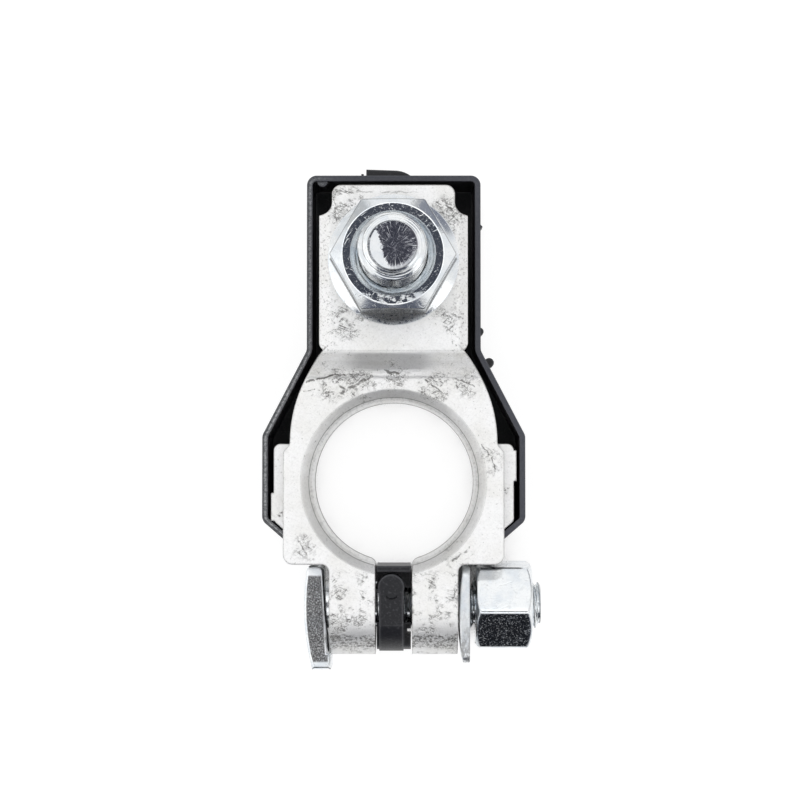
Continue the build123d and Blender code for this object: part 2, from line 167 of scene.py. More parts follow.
def patches(x, y, spots):  # soft discs at (x, y, radius, strength), the strongest one counting
    total = None
    for spotX, spotY, radius, strength in spots:
        away = ((x - spotX) * (x - spotX) + (y - spotY) * (y - spotY)) / (radius * radius)
        disc = away.ramp(0.15, 1.0, strength, 0.0)
        total = disc if total is None else total.high(disc)
    return total


def strokes(x, y, lines):  # straight marks from (x, y) to (x, y), each with a half width and a strength
    total = None
    for fromX, fromY, toX, toY, width, strength in lines:
        runX, runY = toX - fromX, toY - fromY
        along = (((x - fromX) * runX + (y - fromY) * runY) / (runX * runX + runY * runY)).clip()
        offX, offY = x - fromX - along * runX, y - fromY - along * runY
        mark = ((offX * offX + offY * offY) / (width * width)).ramp(0.1, 1.0, strength, 0.0)
        total = mark if total is None else total.high(mark)
    return total


# Zinc plate, bright and slightly blue
zinc = {
    "colour": (0.87, 0.89, 0.9, 1.0), "blue": (0.74, 0.78, 0.82, 1.0), "dull": (0.5, 0.52, 0.53, 1.0),
    "outline": 0.24, "bump": 0.05,  # the radius of the painted dark reflection along the edges, and the dents' depth, in millimetres
}


def zincPlate(name, roughness=0.1, speckle=1.0, wear=0.5, dents=1.0, edge=0.15, grit=0.1, outline=0.8,
              extra=None):
    f = Finish(name)
    here = f.place()
    x, y, z = f.split(here)
    cloud = f.noise(here, 0.5, detail=4.0)
    fine = f.noise(here, 3.1, detail=4.0, rough=0.75)
    nick = contour(f, f.place(scale=(1.2, 0.5, 0.9), turn=(20, 10, 40)), 0.8, 0.03, warp=0.5)
    nick = nick * f.noise(f.place(shift=(8, 2, 1)), 0.8, detail=3.0).ramp(0.46, 0.6)
    hair = contour(f, f.place(scale=(0.3, 2.2, 1.3), turn=(30, 0, 15), shift=(3, 1, 7)), 0.7, 0.02)
    short = scratched(f, 35, 1.3, 0.09, 0.66).high(scratched(f, -50, 1.0, 0.08, 0.665, (5, 2, 8)))
    specks = fine.ramp(0.58, 0.68)
    worn = nick * wear * 0.5 + hair * wear * 0.3 + short * wear * 0.8 + specks * 0.4 * speckle
    worn = worn.clip()
    bare = f.mix(cloud.ramp(0.35, 0.7), zinc["colour"], zinc["blue"])
    rough = roughness + cloud * 0.05 + worn * 0.38
    height = cloud * 0.3 * dents + fine * grit - nick * 0.15 - short * wear * 0.15
    if extra:
        bare, rough, height = extra(f, x, y, z, bare, rough, height)
    colour = f.mix(worn * 0.6, bare, zinc["dull"])
    # Painted reflection: a dark line is painted along the edges, as strong as outline says
    colour = f.mix(f.edges(zinc["outline"], 0.004, 0.025) * outline, colour, grey(0.03))
    return f.surface(Base_Color=colour, Metallic=1.0, Roughness=rough.clip(),
                     Normal=f.bump(height, zinc["bump"], 0.8, f.softEdges(edge)))


# Black moulding
def dentMark(x, y, dent):  # a small curved dent
    dentX, dentY, bend, half = dent
    offX, offY = x - dentX, y - dentY - bend
    away = (offX * offX + offY * offY) ** 0.5
    line = abs(away - bend).ramp(half, half * 0.3)
    return line * abs(offX).ramp(bend * 0.8, bend * 0.6) * y.ramp(dentY + bend, dentY + bend - 0.1)


# Painted light: the rim's top is painted a lighter bluish grey, a painted sheen, and its ridge gets a pale
# painted highlight flecked like dust, most of all on its left
def rimDustAndSheen(f, x, y, z, colour, where, grainy, dustAndSheen):
    rim = z.ramp(*dustAndSheen["from"])
    soft = f.split(f.softEdges(dustAndSheen["soft"]))
    lean = soft[0] * x + soft[1] * (y - dustAndSheen["middle"]) * 0.5
    ridge = abs(lean - dustAndSheen["lean"]).ramp(*dustAndSheen["ridge"]) * (0.35 + grainy.ramp(0.44, 0.56) * 0.65)
    base = f.mix(rim, colour, f.mix(where, dustAndSheen["plain"], dustAndSheen["grey"]))
    return f.mix(rim * ridge * (where * 0.8 + 0.06), base, dustAndSheen["pale"])


def moulded(name, colour, roughness, grain=1.0, edge=0.2, edgeHighlight=0.4, dustAndSheen=None, dent=None):
    f = Finish(name)
    here = f.place()
    x, y, z = f.split(here)
    grainy = f.noise(here, 2.8, detail=4.0, rough=0.7)
    cloud = f.noise(here, 0.6, detail=3.0)
    if dent:
        grainy = grainy - dentMark(x, y, dent) * 6.0
    rub = contour(f, f.place(scale=(0.5, 1.4, 0.8), turn=(0, 0, 30)), 0.9, 0.012)
    dust = f.noise(f.place(shift=(3, 3, 8)), 6.0, detail=3.0).ramp(0.6, 0.7)
    # On the cover the left side is marked out, where dust gathers and the rim's painted highlight is
    # strongest
    where = x.ramp(*dustAndSheen["across"]) if dustAndSheen else cloud.ramp(0.4, 0.6) * 0.3
    paler = tuple(min(1.0, c * 3.0 + 0.07) for c in colour[:3]) + (1.0,)
    base = rimDustAndSheen(f, x, y, z, colour, where, grainy, dustAndSheen) if dustAndSheen else colour
    faded = rub * 0.15 + dust * (where * 0.6 + 0.12) + grainy.ramp(0.55, 0.66) * 0.1 * grain
    tone = f.mix(faded.clip(), base, paler)
    # Painted highlight: the edges are painted paler
    tone = f.mix(f.edges(0.5, 0.01, 0.1) * edgeHighlight, tone, paler)
    rough = roughness + cloud * 0.1 + grainy * 0.08
    return f.surface(Base_Color=tone, Metallic=0.0, Roughness=rough, Specular_IOR_Level=0.35,
                     Normal=f.bump(grainy, 0.03, 0.5 * grain, f.softEdges(edge)))


# Mesh helpers
meshing = {"weld": 0.002, "flat": 2.0, "sharp": 28.0, "nutSharp": 50.0}  # millimetres, then degrees


def piece(name, mesh, finish, body, node):
    made = bpy.data.objects.new(name, mesh)
    bpy.context.scene.collection.objects.link(made)
    made.data.materials.clear()
    made.data.materials.append(finish)
    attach(made, body)
    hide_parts(node)
    return made


def rounded(made, width):
    bevel = made.modifiers.new("edges", "BEVEL")
    bevel.width, bevel.segments = width * mm, 3
    bevel.limit_method, bevel.angle_limit = "ANGLE", radians(meshing["sharp"])
    bevel.harden_normals = True
    bevel.use_clamp_overlap = True


def smooth(mesh, angle):
    for face in mesh.polygons:
        face.use_smooth = True
    mesh.set_sharp_from_angle(angle=radians(angle))


def fromNode(node):  # the solid's own form, its flat faces made whole
    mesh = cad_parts[node].data.copy()
    work = bmesh.new()
    work.from_mesh(mesh)
    bmesh.ops.remove_doubles(work, verts=work.verts, dist=meshing["weld"] * mm)
    bmesh.ops.dissolve_limit(work, angle_limit=radians(meshing["flat"]), verts=work.verts, edges=work.edges)
    work.to_mesh(mesh)
    work.free()
    smooth(mesh, meshing["sharp"])
    return mesh


# Quads between rings of equal length, capped unless the last ring meets the first
def skin(name, rings, loop=False, angle=meshing["sharp"]):
    mesh = bpy.data.meshes.new(name)
    count = len(rings[0])
    points = [point * mm for ring in rings for point in ring]
    faces = []
    for r in range(len(rings) if loop else len(rings) - 1):
        here, there = r * count, (r + 1) % len(rings) * count
        for c in range(count):
            d = (c + 1) % count
            faces.append((here + c, here + d, there + d, there + c))
    if not loop:
        faces.append(tuple(reversed(range(count))))
        faces.append(tuple(range((len(rings) - 1) * count, len(rings) * count)))
    mesh.from_pydata(points, [], faces)
    mesh.update()
    smooth(mesh, angle)
    return mesh


def joined(meshes):
    work = bmesh.new()
    for mesh in meshes:
        work.from_mesh(mesh)
    whole = meshes[0].copy()
    work.to_mesh(whole)
    work.free()
    smooth(whole, meshing["sharp"])
    return whole


def turned(angle, radius, along, axis, centre):  # a point at that angle round an axis along Z or X
    first, second = centre[0] + radius * cos(angle), centre[1] + radius * sin(angle)
    return Vector((first, second, along)) if axis is upAxis else Vector((along, first, second))


def threadProfile(share):  # 0 on the crest, 1 at the root
    away = abs((share % 1.0) - 0.5) * 2
    return min(1.0, max(0.0, (0.875 - away) / 0.625))


def thread(name, start, end, settings, axis, centre, columns=72, steps=12):
    crest, pitch = settings["crest"], settings["pitch"]
    depth = 0.61 * pitch  # as on any metric thread
    rings = []
    rows = int((end - start) / pitch * steps)
    for row in range(rows + 1):
        along = start + (end - start) * row / rows
        fade = min(1.0, (along - start) / pitch)
        limit = crest - max(0.0, along - (end - settings["point"]))
        ring = []
        for column in range(columns):
            angle = 2 * pi * column / columns
            cut = depth * fade * threadProfile(along / pitch - angle / (2 * pi))
            ring.append(turned(angle, min(limit, crest - cut), along, axis, centre))
        rings.append(ring)
    return skin(name, rings)


def hexagon(flats, corner, perFlat=12, perCorner=6):  # (angle, radius) round a hexagon with rounded corners
    reach = (flats / 2 - corner) / cos(radians(30))

    def onCorner(middle, turn):  # a point of the arc round one corner
        return (reach * cos(middle) + corner * cos(turn), reach * sin(middle) + corner * sin(turn))

    outline = []
    for side in range(6):
        middle = radians(60 * side)
        for step in range(perCorner):
            outline.append(onCorner(middle, middle + radians(-30 + 60 * step / perCorner)))
        last = middle + radians(30)
        near, far = onCorner(middle, last), onCorner(middle + radians(60), last)
        for step in range(perFlat):
            share = step / perFlat
            outline.append((near[0] + (far[0] - near[0]) * share, near[1] + (far[1] - near[1]) * share))
    return [(atan2(y, x), hypot(x, y)) for x, y in outline]


# Clamp body, one folded sheet with a satin tin plating
tin = {
    "white": 0.93, "tarnishAndShade": 0.22, "rough": 0.47, "round": 0.28, "edge": 0.42,
    "scuffs": [  # where the plating is rubbed: x, y, radius, strength
        (-5.8, 33.6, 2.8, 1.0), (6.6, 32.4, 2.8, 0.9), (-5.4, 19.3, 2.6, 1.0), (6.6, 19.6, 2.2, 1.0),
        (-7.6, 12.2, 2.8, 0.9), (-4.2, 11.9, 2.4, 1.0), (0.0, 13.0, 2.2, 0.9), (5.0, 11.6, 2.4, 0.9),
        (8.8, 12.0, 2.2, 0.8), (11.6, 2.5, 2.2, 0.5), (8.0, -8.8, 2.4, 0.6), (-10.8, -8.0, 2.0, 0.6),
        (13.8, -1.0, 0.5, 1.0), (-14.0, -4.0, 0.5, 1.0),
    ],
    "strokes": [  # long scratches: from, to, half width, strength
        (-10.6, 12.2, -7.4, 13.0, 0.16, 1.0), (-7.4, 13.0, -3.4, 13.1, 0.1, 0.8),
        (-10.9, 11.0, -9.7, 11.3, 0.1, 0.8), (-6.4, 10.9, -2.6, 12.9, 0.2, 0.8),
        (-6.8, 12.2, -5.9, 11.2, 0.14, 0.9), (-1.0, 13.5, 0.7, 13.2, 0.16, 0.9),
        (3.9, 12.4, 5.9, 11.0, 0.12, 0.8), (7.4, 12.7, 9.8, 11.6, 0.12, 0.7),
        (10.8, 4.6, 11.9, 3.0, 0.08, 0.8), (11.9, 3.0, 12.5, 1.4, 0.08, 0.8),
        (9.3, -7.9, 7.2, -9.6, 0.1, 0.7), (-11.3, -7.3, -10.5, -8.9, 0.1, 0.6),
        (-7.2, 35.0, -6.9, 31.6, 0.1, 0.6), (-6.8, 35.1, 3.0, 35.0, 0.09, 0.5),
    ],
    "top": (9.0, 9.8),  # no rubbing on the hidden lower leaf
    "earStart": -10.4, "earScuff": (-18.4, -20.0),  # the rubbed band runs across both ears
    "strip": 7.0, "stripStart": (15.0, 16.0),  # the tab's folded edges
    "joggle": (12.6, 13.2, 15.4, 15.9),  # y where it starts and is full, then where it fades and ends
    "foot": (14.8, 13.6), "slopeFrom": 13.1,
    # the outline is the radius of the painted shade along the edges
    "bore": 10.4, "lip": 11.45, "rim": 2.9, "outline": 0.26,
}


def boreRubbedAndShaded(f, x, y, z):  # the bore's wall is rubbed and speckled, and a painted shade darkens its lower rim and the edge below the flare
    bore, lip, rim = tin["bore"], tin["lip"], tin["rim"]
    fromAxis = (x * x + y * y) ** 0.5
    wall = fromAxis.ramp(bore + 0.12, bore + 0.04) * z.ramp(lip + 0.05, lip - 0.1)
    grain = f.noise(f.place(scale=(1.0, 1.0, 0.09)), 2.3, detail=4.0, rough=0.75).ramp(0.5, 0.6)
    # painted shade: dark lines at the wall's lower rim and at the edge below the flare
    rims = wall * z.ramp(rim, rim - 0.8).high(abs(z - lip).ramp(0.22, 0.1))
    return (wall * grain * 0.22 + rims * 0.9).clip()


def tinPlate():
    f = Finish("tinPlate")
    here = f.place()
    x, y, z = f.split(here)
    wanderX = (f.noise(here, 1.1, detail=3.0) - 0.5) * 1.3
    wanderY = (f.noise(f.place(shift=(17, 5, 2)), 1.1, detail=3.0) - 0.5) * 1.3
    cloud = f.noise(here, 0.2, detail=4.0, rough=0.6)
    peel = f.noise(here, 1.4, detail=4.0, rough=0.6)
    fine = f.noise(here, 4.5, detail=5.0, rough=0.7)
    gritty = f.noise(f.place(shift=(11, 3, 5)), 3.2, detail=4.0, rough=0.75)
    broken = f.noise(f.place(shift=(5, 12, 9)), 1.6, detail=3.0, rough=0.6).ramp(0.36, 0.5)
    patchy = f.noise(f.place(shift=(2, 9, 6)), 0.5, detail=3.0).ramp(0.42, 0.54)
    cluster = f.noise(f.place(shift=(6, 1, 3)), 0.55, detail=2.0).ramp(0.46, 0.58)

    onTop = z.ramp(*tin["top"])
    onEar = y.ramp(tin["earStart"], tin["earStart"] - 1.6)
    scuffed = patches(x + wanderX, y + wanderY, tin["scuffs"]) * onTop
    drawn = strokes(x + wanderX * 0.6, y + wanderY * 0.6, tin["strokes"]) * broken * onTop
    marks = scratched(f, 24, 1.1, 0.13, 0.585, warp=0.5)
    marks = marks.high(scratched(f, -42, 0.9, 0.13, 0.595, (7, 3, 1), 0.7))
    marks = marks.high(scratched(f, 78, 0.6, 0.16, 0.61, (4, 8, 2), 1.2))
    marked = marks * (scuffed * patchy + onEar * cluster * 0.9 + 0.06).clip()
    crease = contour(f, f.place(scale=(0.9, 1.2, 1.0), turn=(0, 0, 35)), 0.42, 0.03, warp=0.6)
    creased = crease * broken * (scuffed * 0.8 * patchy + onEar * cluster).clip()
    bandStart, bandEnd = tin["earScuff"]
    band = (y + wanderY).ramp(bandStart, bandStart - 0.5) * (y + wanderX).ramp(bandEnd - 0.5, bandEnd)
    band = band * gritty.ramp(0.45, 0.58)
    strip = abs(x).ramp(tin["strip"] - 0.15, tin["strip"]) * y.ramp(*tin["stripStart"])
    worn = (scuffed * patchy * 1.1 + strip * 0.5 + onEar * cluster * 0.4 + 0.13).clip()
    grain = gritty.ramp(0.54, 0.62) * worn
    pits = f.noise(f.place(shift=(31, 7, 3)), 2.4, detail=3.0, rough=0.7).ramp(0.64, 0.7) * 0.5

    upperStart, upperEnd, lowerEnd, lowerStart = tin["joggle"]
    onJoggle = y.ramp(upperStart, upperEnd) * y.ramp(lowerStart, lowerEnd)
    foot = y.ramp(*tin["foot"]) * onJoggle  # the bend grows shallower towards its foot
    endwise = abs(x + 0.5).ramp(3.0, 7.5) * onJoggle
    streaks = f.noise(f.place(scale=(0.25, 2.2, 1.0), shift=(0, 6, 3)), 1.1, detail=3.0, rough=0.6)

    # Painted shade: a dark line is painted along the rounded edges; the scratches, grain, pits and scuff
    # band with it are real marks
    dark = f.edges(tin["outline"], 0.02, 0.12) * 0.55 + drawn * 0.95 + marked * 0.8 + creased * 0.5
    dark = (dark + grain * 0.8 + pits + band * 0.75 + boreRubbedAndShaded(f, x, y, z)).clip()
    yellowed = grey(tin["white"] * 0.93, (1.0, 0.995, 0.975))
    bright = f.mix(cloud.ramp(0.35, 0.7), grey(tin["white"]), yellowed)
    bright = f.mix(fine.ramp(0.4, 0.62, 0.0, 0.1), bright, grey(0.5))
    stain = f.mix(peel.ramp(0.5, 0.7, 0.0, 0.35) * scuffed, bright, grey(0.6, (1.0, 0.99, 0.96)))
    colour = f.mix(dark, stain, grey(tin["tarnishAndShade"], (1.0, 0.98, 0.95)))
    rough = tin["rough"] + cloud * 0.1 - dark * 0.12 + peel * 0.05 + endwise * 0.45
    height = cloud * 0.4 + peel * 0.2 + fine * 0.08
    height = height - creased * 0.4 - drawn * 0.4 - marked * 0.35 - grain * 0.1
    height = height - foot * (y - tin["slopeFrom"]) * 2.2 + onJoggle * streaks * 0.6
    return f.surface(Base_Color=colour, Metallic=1.0, Roughness=rough,
                     Normal=f.bump(height, 0.14, 0.8, f.softEdges(tin["edge"])))


clampBody = piece("clampBody", fromNode("clamp_body"), tinPlate(), "clamp", "clamp_body")
rounded(clampBody, tin["round"])
print("clamp body ready")

# Stud: a square head under the tab, a threaded shank and a scratched end
stud = {
    "y": 26.8, "crest": 4.0, "pitch": 1.25, "point": 1.2, "tabTop": 15.4, "core": 3.0,
    "tipX": 0.2, "disc": 2.8,  # where the scratches meet, and the radius of the flat end
    "rays": 9.0, "lathe": 22.0, "shade": (0.3, 0.29, 0.36, 1.0),
    "plate": {"roughness": 0.1, "wear": 0.5},
}
stud["top"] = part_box("terminal_stud")[1].z / mm


def studTip(f, x, y, z, bare, rough, height):  # radial scratches on the end, and a rubbed left side
    offX, offY = x - stud["tipX"], y - stud["y"]
    angle = offY.op("ARCTAN2", offX)
    radius = (offX * offX + offY * offY) ** 0.5
    tip = z.ramp(stud["top"] - 0.25, stud["top"] - 0.1) * radius.ramp(stud["disc"], stud["disc"] - 0.15)
    fan = f.add("CombineXYZ", {}, {0: angle * stud["rays"], 1: radius * 0.3, 2: 2.0})
    rays = f.noise(fan, 1.6, detail=4.0, rough=0.7).ramp(0.52, 0.66) * radius.ramp(0.2, 2.0, 0.15, 1.0)
    ragged = (f.noise(f.place(), 1.6, detail=4.0, rough=0.7) - 0.5) * 2.4
    left = (x + ragged + (y - stud["y"]) * 0.3).ramp(-1.0, -1.5)
    outer = radius.ramp(2.0, 2.6) * (-offY + ragged).ramp(-0.6, 0.8)
    blot = f.noise(f.place(shift=(1, 4, 2)), 2.6, detail=4.0, rough=0.75).ramp(0.56, 0.66)
    rubbed = ((rays * 0.8 + left * 1.4 + outer * 0.7 + blot * 0.3) * tip).clip()
    chamfer = z.ramp(stud["top"] - 1.3, stud["top"] - 1.1) * (1.0 - tip)
    turnedLines = (radius * stud["lathe"]).op("SINE") * chamfer
    calm = 1.0 - tip * 0.5
    shade = f.mix(tip * (1.0 - rubbed) * 0.8, bare, stud["shade"])
    return shade, rough * calm + tip * 0.06 + rubbed * 0.3, height * calm + turnedLines * 0.1


def terminalStud():  # above the tab, the solid's own shank shrinks to a core inside the thread
    head = fromNode("terminal_stud")
    for vertex in head.vertices:
        x, y, z = vertex.co / mm
        away = hypot(x, y - stud["y"])
        if z > stud["tabTop"] + 0.01 and away > 0.01:
            far = stud["core"] / away
            top = min(z, stud["top"] - 1.5)
            vertex.co = Vector((x * far, stud["y"] + (y - stud["y"]) * far, top)) * mm
    shank = thread("studThread", stud["tabTop"] - 0.5, stud["top"], stud, upAxis, (0, stud["y"]))
    return joined([head, shank])


piece("terminalStud", terminalStud(), zincPlate("studZinc", extra=studTip, **stud["plate"]),
      "clamp", "terminal_stud")
print("stud ready")

# Flange nut
flangeNut = {
    "flats": 13.0, "corner": 0.35, "flange": 7.9, "rim": 0.8, "cone": 1.2, "face": 0.92,
    "bore": 4.06, "sink": 0.9, "drop": 30.0, "edge": 0.05, "front": (-4.0, -5.0),
    "plate": {"roughness": 0.04, "speckle": 1.7, "wear": 0.08, "edge": 0.05, "grit": 0.2, "outline": 0.6},
}


# A nut's section, ring by ring: its base, its outside, its chamfer, its top and its countersunk mouth
def nutRings(settings, base, top, outline, axis, centre, lower):
    face, edge = settings["face"] * settings["flats"] / 2, settings["edge"]
    slope = tan(radians(settings["drop"]))
    bore, sink = settings["bore"], settings["bore"] + settings["sink"]
    rings = []

    def ring(radiusOf, alongOf):
        rings.append([turned(a, radiusOf(r), alongOf(r), axis, centre) for a, r in outline])

    ring(lambda r: bore, lambda r: base)
    lower(ring)
    for down in (2.5 * edge, 1.2 * edge):
        ring(lambda r: r, lambda r: top - (r - face) * slope - down)
    for share, aside in ((1.0, -edge), (1.0, -2 * edge), (0.5, 0.0), (0.0, 2 * edge), (0.0, edge)):
        ring(lambda r: face + (r - face) * share + aside,
             lambda r: top - ((r - face) * share + aside) * slope)
    for flat in (face - edge, face - 2 * edge, sink + 2 * edge, sink + edge):
        ring(lambda r: flat, lambda r: top)
    for down in (edge * 0.7, edge * 1.7):
        ring(lambda r: sink - down, lambda r: top - down)
    ring(lambda r: bore + 2 * edge, lambda r: top - settings["sink"] + 2 * edge)
    ring(lambda r: bore, lambda r: top - settings["sink"] - edge)
    return rings


# A flatter mouth, painted shade where the flange meets the hexagon, a painted dark reflection along the
# hexagon's upper edges, and painted shade, mottled, on the flange's front
def countersunk(f, x, y, z, bare, rough, height):
    low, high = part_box("flange_nut")
    base, top, half, offY = low.z / mm, high.z / mm, flangeNut["flats"] / 2, y - stud["y"]
    flange, mouth = flangeNut["flange"], flangeNut["bore"] + flangeNut["sink"]
    radius = (x * x + offY * offY) ** 0.5
    across = abs(offY).high(abs(x * 0.866 + offY * 0.5)).high(abs(x * 0.866 - offY * 0.5))
    slope = flangeNut["cone"] / (flange - half)
    above = z - (base + flangeNut["rim"] + (flange - radius) * slope)
    # painted shade in the crease where the flange meets the hexagon
    crease = across.ramp(half + 0.22, half + 0.06) * above.ramp(0.16, 0.05)
    below = z - (top - (radius - flangeNut["face"] * half) * tan(radians(flangeNut["drop"])))
    # painted dark reflection along the tops of the hexagon's sides
    crest = across.ramp(half - 0.16, half - 0.05) * below.ramp(-0.14, -0.05)
    bare = f.mix(crease * 0.7 + crest * 0.38, bare, grey(0.05))
    cone = radius.ramp(mouth, mouth - 0.05)
    flatter = cone * (radius - flangeNut["bore"] - flangeNut["sink"])
    front = offY.ramp(-half, -half - 0.1)
    mottle = f.noise(f.place(shift=(4, 4, 1)), 3.0, detail=4.0, rough=0.75).ramp(0.4, 0.62) * front
    # painted shade on the flange's front, mottled
    shaded = front * radius.ramp(flange, flange - 0.6) * 0.6 + mottle * 0.35
    bare = f.mix(shaded, bare, grey(0.11, (1.0, 0.96, 0.94)))
    onFace = z.ramp(top - 0.08, top - 0.03) * offY.ramp(*flangeNut["front"]) * (1.0 - cone)
    blotch = f.noise(f.place(scale=(1.0, 1.4, 1.0), shift=(2, 6, 1)), 1.5, detail=4.0, rough=0.7)
    spark = f.noise(f.place(shift=(9, 2, 4)), 3.3, detail=3.0, rough=0.8).ramp(0.59, 0.66) * (1.0 - cone)
    rough = rough + cone * 0.12 + mottle * 0.45 + blotch.ramp(0.5, 0.56) * onFace * 0.4 + spark * 0.17
    return bare, rough, height - flatter * 9.0 + mottle * 0.3


def flangeNutMesh():
    low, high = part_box("flange_nut")
    base, top = low.z / mm, high.z / mm
    rim, flange = flangeNut["rim"], flangeNut["flange"]
    outline = hexagon(flangeNut["flats"], flangeNut["corner"])
    rise = flangeNut["cone"] / (flange - flangeNut["flats"] / 2)

    def onCone(r):
        return base + rim + (flange - r) * rise

    def lower(ring):  # the flange's edge, its cone, and the small round where the hexagon starts
        for inset, up in ((0.2, 0.0), (0.06, 0.05), (0.0, 0.2), (0.0, rim - 0.08)):
            ring(lambda r: flange - inset, lambda r: base + up)
        for inset in (0.05, 0.12):
            ring(lambda r: flange - inset, lambda r: onCone(flange - inset))
        ring(lambda r: (flange + r) / 2, lambda r: onCone((flange + r) / 2))
        ring(lambda r: r + 0.1, lambda r: onCone(r + 0.1))
        for out, up in ((0.02, 0.02), (0.0, 0.08), (0.0, 0.16)):
            ring(lambda r: r + out, lambda r: onCone(r) + up)

    rings = nutRings(flangeNut, base, top, outline, upAxis, (0, stud["y"]), lower)
    return skin("flangeNut", rings, True, meshing["nutSharp"])


piece("flangeNut", flangeNutMesh(), zincPlate("nutZinc", extra=countersunk, **flangeNut["plate"]),
      "stud_nut", "flange_nut")
print("flange nut ready")

# Clamp bolt: a sheared plate head and a threaded shank
clampBolt = {
    "y": -15.1, "z": 6.2, "crest": 3.0, "pitch": 1.0, "point": 0.55, "threadStart": -2.0, "core": 2.2,
    "inner": -7.9, "edges": 0.55, "torn": 10.2, "tornRows": (-11.3, -22.1),
    "plate": {"roughness": 0.12, "wear": 0.6},
}


def sheared(f, x, y, z, bare, rough, height):  # the head's upper edge, torn grainy by the shear
    top, inner = clampBolt["torn"], clampBolt["inner"]
    onTop = z.ramp(top, top + 0.08) * x.ramp(inner, inner - 0.2)
    first, last = clampBolt["tornRows"]
    torn = onTop * y.ramp(first, first - 0.3) * y.ramp(last, last + 0.3)
    grain = f.noise(f.place(scale=(1.0, 0.8, 1.0)), 6.0, detail=4.0, rough=0.8)
    dark = torn * grain.ramp(0.7, 0.44, 0.35, 1.0)
    shade = f.mix(dark, bare, grey(0.085, (1.0, 0.97, 1.0)))
    return shade, rough + onTop * 0.35, height + torn * grain * 0.4


def clampBoltMesh():  # past the ear, the solid's own shank shrinks to a core inside the thread
    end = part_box("clamp_bolt")[1].x / mm
    centreY, centreZ = clampBolt["y"], clampBolt["z"]
    head = fromNode("clamp_bolt")

    def fromAxis(y, z):
        return hypot(y - centreY, z - centreZ)

    for vertex in head.vertices:
        x, y, z = vertex.co / mm
        away = fromAxis(y, z)
        if x > clampBolt["threadStart"] and away < clampBolt["crest"] + 0.05:
            far = clampBolt["core"] / max(away, 0.001)
            vertex.co = Vector((min(x, end - 1.0), centreY + (y - centreY) * far,
                                centreZ + (z - centreZ) * far)) * mm

    def isOnHead(vertex):
        return fromAxis(vertex.co.y / mm, vertex.co.z / mm) > clampBolt["crest"] + 0.05

    def isLevel(edge):
        return abs(edge.verts[0].co.z - edge.verts[1].co.z) < 0.01 * mm

    work = bmesh.new()
    work.from_mesh(head)
    sharp = [edge for edge in work.edges
             if len(edge.link_faces) == 2 and edge.calc_face_angle(0) > radians(40)]
    rims = [edge for edge in sharp if isLevel(edge) and all(isOnHead(vertex) for vertex in edge.verts)]
    bmesh.ops.bevel(work, geom=rims, offset=clampBolt["edges"] * mm, segments=4, profile=0.5,
                    affect="EDGES", clamp_overlap=False)
    work.to_mesh(head)
    work.free()
    shank = thread("boltThread", clampBolt["threadStart"], end, clampBolt, boltAxis, (centreY, centreZ),
                   columns=60)
    return joined([head, shank])


piece("clampBolt", clampBoltMesh(), zincPlate("boltZinc", extra=sheared, **clampBolt["plate"]),
      "clamp", "clamp_bolt")
print("clamp bolt ready")

# Plate washer
plateWasher = {
    "edges": 0.12, "dull": (-14.5, -20.5),
    "plate": {"roughness": 0.26, "speckle": 0.5, "wear": 0.6, "dents": 1.5, "edge": 0.3, "grit": 0.1,
              "outline": 0.4},
}


def mottled(f, x, y, z, bare, rough, height):  # darker and blotchier towards the end away from the ring, rougher towards the other end
    dull = y.ramp(*plateWasher["dull"])
    blotch = f.noise(f.place(scale=(1.4, 0.7, 1.0), shift=(5, 1, 8)), 1.3, detail=4.0, rough=0.7)
    blotch = blotch.ramp(0.44, 0.6)
    bare = f.mix(dull * blotch * 0.7 + blotch * 0.12, bare, grey(0.32))
    return bare, rough + (1.0 - dull) * 0.12 + blotch * 0.1, height


washer = piece("plateWasher", fromNode("plate_washer"),
               zincPlate("washerZinc", extra=mottled, **plateWasher["plate"]),
               "washer", "plate_washer")
rounded(washer, plateWasher["edges"])
print("plate washer ready")

# Clamp nut
clampNut = {
    "flats": 10.0, "corner": 0.55, "face": 0.95, "inner": 0.985, "bore": 3.05, "sink": 0.5,
    "drop": 30.0, "turn": 7.0, "edge": 0.07,
    "plate": {"roughness": 0.09, "speckle": 0.7, "wear": 0.8, "dents": 0.2, "edge": 0.25, "grit": 0.022},
}


def clampNutMesh():
    low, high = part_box("clamp_nut")
    base, top = low.x / mm, high.x / mm
    turn = radians(90 + clampNut["turn"])
    outline = [(a + turn, r) for a, r in hexagon(clampNut["flats"], clampNut["corner"])]

    def lower(ring):  # the chamfered face towards the washer
        edge, face = clampNut["edge"], clampNut["inner"] * clampNut["flats"] / 2
        slope = tan(radians(clampNut["drop"]))
        for flat in (face - 2 * edge, face - edge):
            ring(lambda r: flat, lambda r: base)
        for share, aside in ((0.0, edge), (0.0, 2 * edge), (0.5, 0.0), (1.0, -2 * edge), (1.0, -edge)):
            ring(lambda r: face + (r - face) * share + aside,
                 lambda r: base + ((r - face) * share + aside) * slope)
        for up in (1.2 * edge, 2.5 * edge):
            ring(lambda r: r, lambda r: base + (r - face) * slope + up)

    centre = (clampBolt["y"], clampBolt["z"])
    rings = nutRings(clampNut, base, top, outline, boltAxis, centre, lower)
    return skin("clampNut", rings, True, meshing["nutSharp"])


piece("clampNut", clampNutMesh(), zincPlate("clampNutZinc", **clampNut["plate"]),
      "bolt_nut", "clamp_nut")
print("clamp nut ready")

